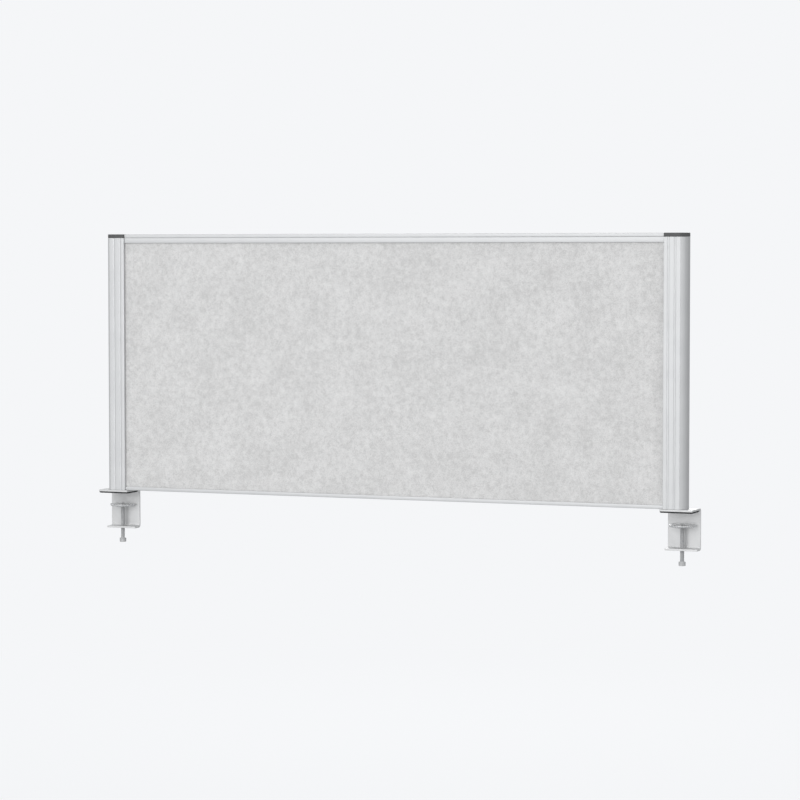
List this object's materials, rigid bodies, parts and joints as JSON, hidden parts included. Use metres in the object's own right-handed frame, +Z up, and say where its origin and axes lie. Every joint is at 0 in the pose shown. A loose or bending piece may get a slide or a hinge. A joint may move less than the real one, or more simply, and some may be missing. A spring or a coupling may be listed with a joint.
{
  "type": "desk privacy panel",
  "caption": "Felt-faced acoustic desk screen in a metal frame with ribbed, rounded end posts, held on a desk's edge by a screw clamp under each post.",
  "frame": {"origin": "on the desk top, in the panel's middle plane, midway between the two clamps", "axes": "+X along the panel, +Y across it away from the desk, towards the clamp webs, +Z up"},
  "size_m": [1.229, 0.0571, 0.6142],
  "materials": {
    "anodised_aluminium": "satin",
    "cap_plastic": "matte",
    "felt": "matte",
    "core_board": "matte",
    "clamp_coat": "satin",
    "pad_rubber": "matte",
    "zinc_steel": "satin",
    "spring_steel": "satin"
  },
  "bodies": {
    "frame": {"top_rail": "anodised_aluminium", "top_cover_strip": "anodised_aluminium", "bottom_rail": "anodised_aluminium", "front_felt": "felt", "back_felt": "felt", "acoustic_core": "core_board", "left_post": "anodised_aluminium", "left_post_cap": "cap_plastic", "left_post_screw_front": "zinc_steel", "left_post_screw_back": "zinc_steel", "left_top_corner": "zinc_steel", "left_top_corner_post_screw": "zinc_steel", "left_top_corner_rail_screw": "zinc_steel", "left_bottom_corner": "zinc_steel", "left_bottom_corner_post_screw": "zinc_steel", "left_bottom_corner_rail_screw": "zinc_steel", "left_clamp_bracket": "clamp_coat", "left_clamp_pad": "pad_rubber", "left_threaded_bush": "zinc_steel", "right_post": "anodised_aluminium", "right_post_cap": "cap_plastic", "right_post_screw_front": "zinc_steel", "right_post_screw_back": "zinc_steel", "right_top_corner": "zinc_steel", "right_top_corner_post_screw": "zinc_steel", "right_top_corner_rail_screw": "zinc_steel", "right_bottom_corner": "zinc_steel", "right_bottom_corner_post_screw": "zinc_steel", "right_bottom_corner_rail_screw": "zinc_steel", "right_clamp_bracket": "clamp_coat", "right_clamp_pad": "pad_rubber", "right_threaded_bush": "zinc_steel"},
    "left_jaw": {"left_pressure_plate": "zinc_steel"},
    "left_screw": {"left_clamp_screw": "zinc_steel", "left_screw_clip": "spring_steel"},
    "right_jaw": {"right_pressure_plate": "zinc_steel"},
    "right_screw": {"right_clamp_screw": "zinc_steel", "right_screw_clip": "spring_steel"}
  },
  "joints": [
    {"name": "left_jaw_slide", "type": "slide", "parent": "frame", "child": "left_jaw", "axis": [0, 0, 1], "range_m": [-0.038, 0.0185]},
    {"name": "left_screw_turn", "type": "hinge", "parent": "left_jaw", "child": "left_screw", "pos_m": [-0.583, 0.0178, -0.06], "axis": [0, 0, 1], "range_deg": [-11000, 5385]},
    {"name": "right_jaw_slide", "type": "slide", "parent": "frame", "child": "right_jaw", "axis": [0, 0, 1], "range_m": [-0.038, 0.0185]},
    {"name": "right_screw_turn", "type": "hinge", "parent": "right_jaw", "child": "right_screw", "pos_m": [0.583, 0.0178, -0.06], "axis": [0, 0, 1], "range_deg": [-11000, 5385]}
  ],
  "couplings": [
    {"joint": "left_screw_turn", "follows": "left_jaw_slide", "rad_per_m": 5026.5},
    {"joint": "right_screw_turn", "follows": "right_jaw_slide", "rad_per_m": 5026.5}
  ]
}
